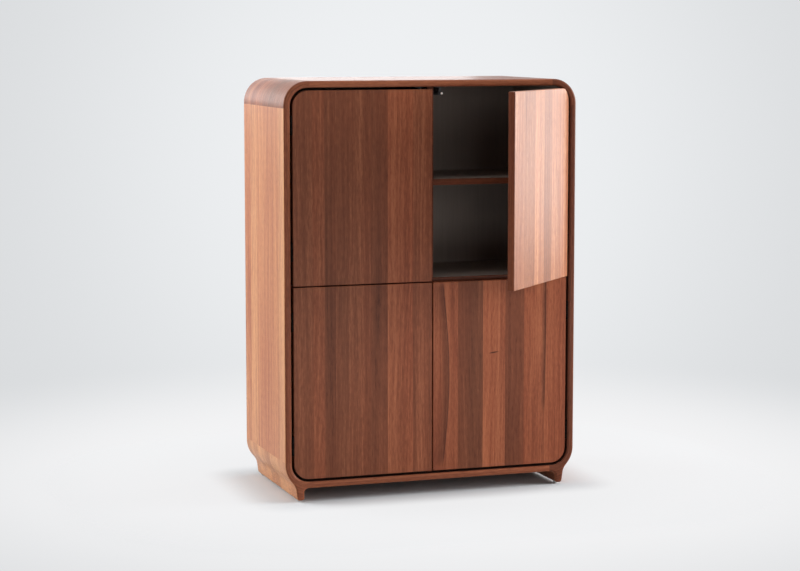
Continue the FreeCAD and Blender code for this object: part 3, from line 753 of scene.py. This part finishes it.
@dataclass(frozen=True)
class Metal:
    """Brushed or plated metal.

    Attributes:
        name: The material's name.
        colour: Its brighter tone.
        roughness: How matt it is, from 0 to 1.
        brush: Scratches to the metre along each axis.
    """

    name: str
    colour: Triple
    roughness: float
    brush: Triple

    CLOUD = (60.0, 60.0, 60.0)
    DULL_SHARE = 0.8
    RELIEF = 0.00002

    def make(self) -> bpy.types.Material:
        """Builds the material.

        Returns:
            The finished material.
        """
        material, graph = new_material(self.name)
        point = graph.place()
        scratch = graph.noise(point, self.brush, 3.0, 0.65)
        cloud = graph.noise(point, self.CLOUD)
        dull = shaded(self.colour, self.DULL_SHARE)
        graph.surface({
            "Base Color": graph.mix(0.6 * scratch + 0.4 * cloud, dull, self.colour),
            "Metallic": 1.0,
            "Roughness": self.roughness + 0.16 * (scratch - 0.5),
            "Normal": graph.bump(scratch, self.RELIEF),
        })
        return material


@dataclass(frozen=True)
class Plastic:
    """Moulded plastic with a fine spark-eroded skin.

    Attributes:
        name: The material's name.
        colour: Its brighter tone.
        roughness: How matt it is, from 0 to 1.
    """

    name: str
    colour: Triple
    roughness: float

    SKIN = (2600.0, 2600.0, 2600.0)
    FLOW = (90.0, 90.0, 90.0)
    DULL_SHARE = 0.82
    RELIEF = 0.00003

    def make(self) -> bpy.types.Material:
        """Builds the material.

        Returns:
            The finished material.
        """
        material, graph = new_material(self.name)
        point = graph.place()
        skin = graph.noise(point, self.SKIN)
        flow = graph.noise(point, self.FLOW)
        dull = shaded(self.colour, self.DULL_SHARE)
        graph.surface({
            "Base Color": graph.mix(flow, dull, self.colour),
            "Roughness": self.roughness + 0.1 * (skin - 0.5),
            "Normal": graph.bump(skin, self.RELIEF),
        })
        return material


@dataclass(frozen=True)
class Beech:
    """Bare beech for splines and dowels, with short dark flecks.

    Attributes:
        name: The material's name.
        colour: Its brighter tone.
    """

    name: str
    colour: Triple

    FLECK_COLOUR = linear(128, 86, 56)
    FIBRE = (300.0, 30.0, 300.0)
    FLECK = (900.0, 120.0, 900.0)
    FLECK_EDGES = (0.62, 0.72)
    DARK_SHARE = 0.7
    RELIEF = 0.00006

    def make(self) -> bpy.types.Material:
        """Builds the material.

        Returns:
            The finished material.
        """
        material, graph = new_material(self.name)
        point = graph.place()
        fibre = graph.noise(point, self.FIBRE, 3.0)
        fleck = graph.smooth(graph.noise(point, self.FLECK, 1.0), *self.FLECK_EDGES)
        plain = graph.mix(fibre, shaded(self.colour, self.DARK_SHARE), self.colour)
        graph.surface({
            "Base Color": graph.mix(fleck * 0.5, plain, self.FLECK_COLOUR),
            "Roughness": 0.62 + 0.1 * (fibre - 0.5),
            "Normal": graph.bump(fibre - fleck, self.RELIEF),
        })
        return material


def dress(nodes: Iterable[str], material: bpy.types.Material) -> None:
    """Gives pieces a material.

    Args:
        nodes: The pieces' names.
        material: The finish that they get.
    """
    for name in nodes:
        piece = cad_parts[name]
        for slot in piece.material_slots:
            slot.material = material
        LOG.info("%s is dressed in %s", name, material.name)


# Sub-assemblies


class Side(Enum):
    """Left or right, as seen from the front."""

    LEFT = "left"
    RIGHT = "right"


class Level(Enum):
    """Upper or lower."""

    UPPER = "upper"
    LOWER = "lower"


@dataclass(frozen=True)
class Case:
    """The rounded case: side, top and bottom panels, corner blocks and runners.

    Attributes:
        depth: The case's depth in metres.
        high_bend: Height of the top corners' middles.
        low_bend: Height of the bottom corners' middles.

    EDGES are the narrow strips along the front rim. The left one is in about the doors' walnut tone, so
    the painted light on the pale side and runner staves stops at the front rounding. The right one is
    darker still, painted shade.
    The darkening per side says how much darker each side's staves are, and takes part of that painted
    light off the right side.
    """

    depth: float = 0.49
    high_bend: float = 1.27
    low_bend: float = 0.124

    TOP_ROUGHNESS = 0.3
    # front rim strips: the left one in about the doors' walnut tone, the right one darker still, painted
    # shade
    EDGES = {Side.LEFT: Stave(0.002, 0.42, 0.6), Side.RIGHT: Stave(0.002, 0.19, 0.6)}
    # how much darker each side's staves are: the right side drops part of the painted light that the
    # pale staves carry
    PAINTED_LIGHT_DROP = {Side.LEFT: 0.0, Side.RIGHT: 0.28}

    # painted light: side staves far paler than the doors' walnut, as the side looks under the left lamp
    LIT_SIDE_STAVES = (
        Stave(0.070, 0.89, 0.40, 0.10),
        Stave(0.088, 0.76, 0.50, -0.12),
        Stave(0.081, 0.77, 0.60, 0.08),
        Stave(0.090, 0.79, 0.55, -0.09),
        Stave(0.075, 0.83, 0.45, 0.12),
        Stave(0.084, 0.77, 0.60, -0.08),
    )
    TOP_STAVES = (
        Stave(0.010, 0.44, 0.60, 0.10),
        Stave(0.075, 0.41, 0.45, 0.10),
        Stave(0.079, 0.48, 0.55, -0.12),
        Stave(0.088, 0.36, 0.30, 0.03),
        Stave(0.076, 0.45, 0.50, -0.09),
        Stave(0.082, 0.39, 0.40, 0.12),
        Stave(0.080, 0.47, 0.40, -0.05),
    )
    BLOCK_STAVES = (
        Stave(0.091, 0.45, 0.25, 0.02, 0.03),
        Stave(0.101, 0.40, 0.15, -0.04, 0.03),
        Stave(0.096, 0.45, 0.35, 0.05, 0.02),
        Stave(0.103, 0.48, 0.50, -0.06, 0.03),
        Stave(0.097, 0.52, 0.40, 0.03, 0.04),
    )
    # painted light: runner staves far paler than the doors' walnut, like the side staves
    LIT_RUNNER_STAVES = (
        Stave(0.095, 0.84, 0.25, 0.06, 0.03),
        Stave(0.092, 0.91, 0.15, -0.05, 0.03),
        Stave(0.104, 0.82, 0.10, 0.04, 0.02),
        Stave(0.097, 0.91, 0.20, -0.04, 0.03),
        Stave(0.100, 0.85, 0.15, 0.06, 0.04),
    )

    def dress(self) -> None:
        """Gives each board and block its own cut of walnut, with painted light on the side panels and
        runners, and painted shade on the right rim strip.
        """
        front = -self.depth / 2
        lining = Lining()
        smooth = {"lining": lining, "roughness": self.TOP_ROUGHNESS}
        level = Walnut("flat_walnut", Run.LEVEL, self.TOP_STAVES, front, **smooth)
        dress(["top_panel", "bottom_panel"], level.make())
        for side, sign in ((Side.LEFT, -1), (Side.RIGHT, 1)):
            edge, shade = self.EDGES[side], self.PAINTED_LIGHT_DROP[side]
            bend = Bend(sign, self.high_bend)
            blocks = (edge, *self.BLOCK_STAVES)
            corner = Walnut(f"top_{side.value}_walnut", bend, blocks, front, lining=lining)
            dress([f"top_{side.value}_corner"], corner.make())
            cuts = (
                (f"{side.value}_side_panel", Run.SIDE, self.LIT_SIDE_STAVES),
                (f"{side.value}_runner", Bend(sign, self.low_bend), self.LIT_RUNNER_STAVES),
            )
            for piece, run, staves in cuts:
                # the right side's panel and runner staves are darkened, dropping part of their painted
                # light
                boards = (edge, *(stave.darker(shade) for stave in staves))
                wood = Walnut(f"{piece}_walnut", run, boards, front, lining=lining)
                dress([piece], wood.make())


@dataclass(frozen=True)
class Doors:
    """Four doors, with the staves running through the upper and lower one of each side. The open upper
    right door has paler, greyer staves, painted light, and a darker first stave along its free edge,
    painted shade.

    Attributes:
        edge: Half the width over both doors.
        gap: Half the gap between left and right doors.
        hinge: A point on the open door's hinge line.
        open_angle: How far the open door stands open, in degrees.
    """

    edge: float = 0.470
    gap: float = 0.002
    hinge: Triple = (0.474, -0.240, 0.0)
    open_angle: float = 46.0

    LEFT_STAVES = (
        Stave(0.064, 0.36, 0.45, 0.08),
        Stave(0.040, 0.41, 0.60, -0.10),
        Stave(0.036, 0.36, 0.45, 0.10),
        Stave(0.066, 0.37, 0.40, -0.11),
        Stave(0.052, 0.38, 0.40, 0.09),
        Stave(0.058, 0.36, 0.45, 0.03, 0.02),
        Stave(0.086, 0.50, 0.85, -0.10),
        Stave(0.066, 0.42, 0.55, 0.11),
    )
    RIGHT_STAVES = (
        Stave(0.085, 0.43, 0.85, 0.05, 0.03),
        Stave(0.088, 0.34, 0.40, 0.10),
        Stave(0.079, 0.575, 0.90, -0.11),
        Stave(0.065, 0.35, 0.50, 0.09),
        Stave(0.075, 0.45, 1.00, 0.03, 0.02),
        Stave(0.076, 0.45, 1.00, -0.09),
    )
    # painted light: the open door's staves, paler and greyer than the lower right door's; the 3 mm stave
    # along its free edge is darkened, painted shade
    LIT_OPEN_STAVES = (
        Stave(0.003, 0.27, 0.55, 0.05, 0.03),
        Stave(0.082, 0.650, 0.04, 0.05, 0.03),
        Stave(0.088, 0.595, 0.00, 0.10),
        Stave(0.079, 0.665, 0.06, -0.11),
        Stave(0.065, 0.600, 0.02, 0.09),
        Stave(0.075, 0.650, 0.10, 0.03, 0.02),
        Stave(0.076, 0.660, 0.14, -0.09),
    )
    RIGHT_LINES = (
        HeartLine(0.032, 0.023, 0.074, 0.695, 0.0026, 0.2, 0.045),
        HeartLine(0.392, 0.003, 0.240, 0.930, 0.0048, 0.7, 0.018),
    )
    RIGHT_KNOTS = (Knot(0.212, 0.456, 0.022, 0.0032),)

    def dress(self) -> None:
        """Gives the doors their walnut."""
        left = Walnut("left_door_walnut", Run.DOOR, self.LEFT_STAVES, -self.edge)
        dress([f"{level.value}_left_door" for level in Level], left.make())
        details = {"lines": self.RIGHT_LINES, "knots": self.RIGHT_KNOTS}
        shut = Walnut("right_door_walnut", Run.DOOR, self.RIGHT_STAVES, self.gap, **details)
        dress(["lower_right_door"], shut.make())
        turn = Turn(self.hinge, math.radians(self.open_angle))
        # the open door gets its paler staves, painted light, and its darkened free edge, painted shade
        stands_open = Walnut("open_door_walnut_painted_light", Run.DOOR, self.LIT_OPEN_STAVES, self.gap, turn=turn)
        dress(["upper_right_door"], stands_open.make())


@dataclass(frozen=True)
class Interior:
    """Back panel, middle panel, dividers and shelves, dark with walnut edges.

    Attributes:
        back: Depth inside the back panel, beyond which it is out of sight.
        edge_start: Height below every edge, where its single stave begins.
    """

    back: float = 0.231
    edge_start: float = -0.5

    UPRIGHT_GRAIN = (260.0, 260.0, 5.0)
    LEVEL_GRAIN = (5.0, 260.0, 260.0)
    EDGE_STAVES = (Stave(2.0, 0.16, 0.5, 0.03, 0.02),)

    def dress(self) -> None:
        """Gives the dark boards and their edges their finishes."""
        upright = Lacquer("upright_lacquer", ANTHRACITE, self.UPRIGHT_GRAIN, self.back)
        dress(["back_panel", "upper_divider", "lower_divider"], upright.make())
        flat = Lacquer("level_lacquer", ANTHRACITE, self.LEVEL_GRAIN)
        shelves = [f"{level.value}_{side.value}_shelf" for level in Level for side in Side]
        dress(["middle_panel", *shelves], flat.make())
        edge = Walnut("lipping_walnut", Run.EDGE, self.EDGE_STAVES, self.edge_start)
        dress(["shelf_lippings", "panel_lippings"], edge.make())


@dataclass(frozen=True)
class Hardware:
    """Hinges, latches, strikes, pegs, glides, screws and hidden joinery."""

    def dress(self) -> None:
        """Gives the small pieces their finishes."""
        doors = [f"{level.value}_{side.value}" for level in Level for side in Side]
        black = Metal("black_hinge_steel", linear(20, 17, 16), 0.6, (500.0, 500.0, 12.0))
        leaves = [f"{door}_{piece}" for door in doors for piece in ("hinge_leaves", "leaf_screws")]
        dress(["case_hinge_leaves", "hinge_pins", "case_leaf_screws", *leaves], black.make())
        zinc = Metal("zinc_steel", linear(196, 197, 199), 0.34, (700.0, 700.0, 700.0))
        dress(["back_screws", "glide_screws", "latch_screws", "shelf_pegs"], zinc.make())
        satin = Metal("satin_strike_steel", linear(182, 182, 184), 0.38, (900.0, 60.0, 900.0))
        dress([f"{door}_strike" for door in doors], satin.make())
        nickel = Metal("nickel_tip", linear(240, 238, 232), 0.3, (800.0, 800.0, 800.0))
        dress([f"{door}_magnet" for door in doors], nickel.make())
        black_plastic = Plastic("latch_plastic", linear(52, 51, 52), 0.5)
        dress(["latch_housings", *(f"{door}_plunger" for door in doors)], black_plastic.make())
        dress(["glides"], Plastic("glide_plastic", linear(206, 204, 199), 0.45).make())
        dress(["corner_splines", "panel_dowels"], Beech("bare_beech", linear(214, 176, 132)).make())


# Studio


@dataclass(frozen=True)
class SoftBox:
    """A flat studio lamp.

    Attributes:
        name: The lamp's name.
        place: Where its middle is.
        target: What it points at.
        width: Its width in metres.
        height: Its height in metres.
        power: Its power in watts.
    """

    name: str
    place: Triple
    target: Triple
    width: float
    height: float
    power: float

    def hang(self) -> None:
        """Adds the lamp to the scene."""
        lamp = bpy.data.lights.new(self.name, "AREA")
        lamp.shape = "RECTANGLE"
        lamp.size, lamp.size_y = self.width, self.height
        lamp.energy = self.power
        holder = bpy.data.objects.new(self.name, lamp)
        direction = Vector(self.target) - Vector(self.place)
        turn = direction.to_track_quat("-Z", "Y").to_matrix().to_4x4()
        holder.matrix_world = Matrix.Translation(self.place) @ turn
        holder.visible_camera = False
        bpy.context.scene.collection.objects.link(holder)


@dataclass(frozen=True)
class Studio:
    """A pale floor, soft boxes and a pale surround with a painted pool of light on the backdrop behind
    the object.

    Attributes:
        heart: The middle of the floor's brightest part.
        near: Distance from there at which the floor starts to fade into the surround.
        far: Distance at which it has faded.
        footprint: Half the width and depth of the floor under the object.
        shadow_reach: Distance from the footprint over which the shadow softens.
        shadow_end: Distance beyond which the floor shows only its own pale tone.
        glow: Share of that tone where the shadow has softened.
        pool: How wide the light spreads on the backdrop, as an angle.
        fill: Strength of the surround's own light on the object.
    """

    heart: Triple = (0.15, 0.2, 0.0)
    near: float = 0.9
    far: float = 2.6
    footprint: tuple[float, float] = (0.5, 0.245)
    shadow_reach: float = 0.16
    shadow_end: float = 0.8
    glow: float = 0.88
    pool: float = 0.25
    fill: float = 0.05

    FLOOR_SIDES = 128
    FLOOR_RINGS = (0.8, 1.6, 3.2, 8.0, 20.0, 60.0)
    FLOOR = linear(215, 219, 222)
    MOTTLE = (9.0, 9.0, 9.0)
    MOTTLE_SHARE = 0.96
    SWEEP = linear(243, 243, 244)
    # painted pool of light: the backdrop's tones, palest round the pool's axis and dimmer away from it
    BACKDROP_POOL_TONES = (
        (0.00, linear(239, 241, 243)),
        (0.28, linear(238, 240, 242)),
        (0.52, linear(229, 231, 233)),
        (0.76, linear(219, 221, 223)),
        (1.00, linear(216, 218, 220)),
    )
    POOL_AXIS = (0.3267, 0.9435, -0.0555)
    LAMPS = (
        SoftBox("overhead_box", (0.0, -0.3, 3.6), (0.0, -0.3, 0.0), 3.4, 2.6, 56.0),
        SoftBox("left_box", (-4.0, 2.5, 2.2), (-0.4, 0.1, 1.15), 3.0, 2.4, 250.0),
        SoftBox("right_box", (4.6, -1.25, 1.9), (0.2, -0.3, 0.9), 2.6, 2.2, 266.0),
        SoftBox("sheen_box", (4.4, 1.9, 1.45), (0.35, -0.4, 1.05), 2.0, 2.2, 92.0),
        SoftBox("back_box", (-0.4, 3.6, 1.75), (0.0, 0.2, 1.3), 4.2, 1.0, 32.0),
        SoftBox("floor_card", (0.3, -2.3, 0.25), (0.0, -0.2, 0.5), 2.4, 0.5, 8.5),
        SoftBox("front_card", (-0.35, -3.8, 1.4), (0.2, 0.2, 1.0), 0.9, 0.8, 12.0),
    )

    def build(self) -> None:
        """Adds the floor, the surround and the lamps."""
        self._lay_floor()
        self._paint_surround()
        for lamp in self.LAMPS:
            lamp.hang()

    def _lay_floor(self) -> None:
        """Adds a round floor, which isn't part of the object."""
        points: list[Triple] = [(0.0, 0.0, 0.0)]
        for radius in self.FLOOR_RINGS:
            for step in range(self.FLOOR_SIDES):
                angle = 2 * math.pi * step / self.FLOOR_SIDES
                points.append((radius * math.cos(angle), radius * math.sin(angle), 0.0))
        faces: list[tuple[int, ...]] = []
        for step in range(self.FLOOR_SIDES):
            following = (step + 1) % self.FLOOR_SIDES
            faces.append((0, 1 + step, 1 + following))
            for ring in range(len(self.FLOOR_RINGS) - 1):
                inner, outer = 1 + ring * self.FLOOR_SIDES, 1 + (ring + 1) * self.FLOOR_SIDES
                faces.append((inner + step, outer + step, outer + following, inner + following))
        mesh = bpy.data.meshes.new("studio_floor")
        mesh.from_pydata(points, [], faces)
        mesh.materials.append(self._floor_paint())
        floor = bpy.data.objects.new("studio_floor", mesh)
        bpy.context.scene.collection.objects.link(floor)

    @staticmethod
    def _seen(graph: Graph) -> Signal:
        """1 where a ray shows the surround to the eye, straight or by way of gloss or glass.

        Args:
            graph: The nodes of a material or of the world.

        Returns:
            The mask.
        """
        path = graph.node("ShaderNodeLightPath", {}, {})
        seen = graph.out(path, "Is Camera Ray") + graph.out(path, "Is Glossy Ray")
        return graph.math("MINIMUM", seen + graph.out(path, "Is Transmission Ray"), 1.0)

    def _floor_paint(self) -> bpy.types.Material:
        """Matt pale paint that fades into the surround far away.

        Returns:
            The finished material.
        """
        material, graph = new_material("floor_paint")
        point = graph.place()
        distance = graph.vector("DISTANCE", point, self.heart, result="Value")
        x, y, _ = graph.split(point)
        beside = graph.math("MAXIMUM", abs(x) - self.footprint[0], 0.0)
        before = graph.math("MAXIMUM", abs(y) - self.footprint[1], 0.0)
        clear = graph.math("SQRT", beside * beside + before * before)
        mottle = graph.noise(point, self.MOTTLE, 3.0)
        colour = graph.mix(0.3 * mottle, self.FLOOR, shaded(self.FLOOR, self.MOTTLE_SHARE))
        paint = graph.out(graph.node("ShaderNodeBsdfDiffuse", {}, {"Color": colour}))
        faded = graph.smooth(distance, self.near, self.far)
        pale = {"Color": opaque(self.SWEEP), "Strength": 1.0}
        glow = graph.out(graph.node("ShaderNodeEmission", {}, pale))
        near_share = self.glow * graph.smooth(clear, 0.0, self.shadow_reach)
        far_share = graph.smooth(clear, self.shadow_reach, self.shadow_end)
        seen = self._seen(graph)
        share = graph.math("MAXIMUM", near_share, far_share) * seen
        blended = graph.out(graph.node("ShaderNodeMixShader", {}, {0: share, 1: paint, 2: glow}))
        clear_end = graph.out(graph.node("ShaderNodeBsdfTransparent", {}, {}))
        ends = {0: faded * seen, 1: blended, 2: clear_end}
        whole = graph.out(graph.node("ShaderNodeMixShader", {}, ends))
        graph.node("ShaderNodeOutputMaterial", {}, {"Surface": whole})
        return material

    def _paint_surround(self) -> None:
        """Sets the world: pale where it is seen, brightest in a painted pool of light behind the object,
        and dimmer where it only lights.
        """
        world = bpy.data.worlds.new("studio_surround")
        world.use_nodes = True
        bpy.context.scene.world = world
        graph = Graph(world.node_tree)
        dim = {"Color": (1, 1, 1, 1), "Strength": self.fill}
        lit = graph.out(graph.node("ShaderNodeBackground", {}, dim))
        direction = graph.out(graph.node("ShaderNodeTexCoord", {}, {}), "Generated")
        angle = graph.math("ARCCOSINE", graph.along(direction, self.POOL_AXIS))
        # the painted pool of light on the backdrop
        tone = graph.ramp(angle / self.pool, self.BACKDROP_POOL_TONES, "B_SPLINE")
        shown = graph.out(graph.node("ShaderNodeBackground", {}, {"Color": tone, "Strength": 1.0}))
        both = graph.out(graph.node("ShaderNodeMixShader", {}, {0: self._seen(graph), 1: lit, 2: shown}))
        graph.node("ShaderNodeOutputWorld", {}, {"Surface": both})


@dataclass(frozen=True)
class Viewpoint:
    """The camera at the photograph's viewing angle.

    Attributes:
        place: Where the camera stands.
        turn: How far it looks to the right of straight ahead, in degrees.
        dip: How far it looks down, in degrees.
        lens: Focal length in millimetres.
        sensor: Sensor width in millimetres.
    """

    place: Triple = (-2.3742, -6.8649, 1.5164)
    turn: float = 18.857
    dip: float = 6.737
    lens: float = 98.231
    sensor: float = 36.0

    CLIP_END = 200.0

    def set_up(self) -> None:
        """Adds the camera and makes it the scene's own."""
        camera = bpy.data.cameras.new("photograph_view")
        camera.lens = self.lens
        camera.sensor_width = self.sensor
        camera.clip_end = self.CLIP_END
        holder = bpy.data.objects.new("photograph_view", camera)
        holder.location = self.place
        holder.rotation_euler = (math.radians(90 - self.dip), 0.0, -math.radians(self.turn))
        bpy.context.scene.collection.objects.link(holder)
        bpy.context.scene.camera = holder


def main() -> None:
    """Dresses every sub-assembly, then sets up the studio and the camera."""
    logging.basicConfig(level=logging.INFO, format="%(name)s: %(message)s")
    bpy.context.scene.view_settings.view_transform = "Standard"
    for assembly in (Case(), Doors(), Interior(), Hardware()):
        assembly.dress()
        LOG.info("%s done", type(assembly).__name__)
    Studio().build()
    Viewpoint().set_up()


if __name__ == "__main__":
    main()
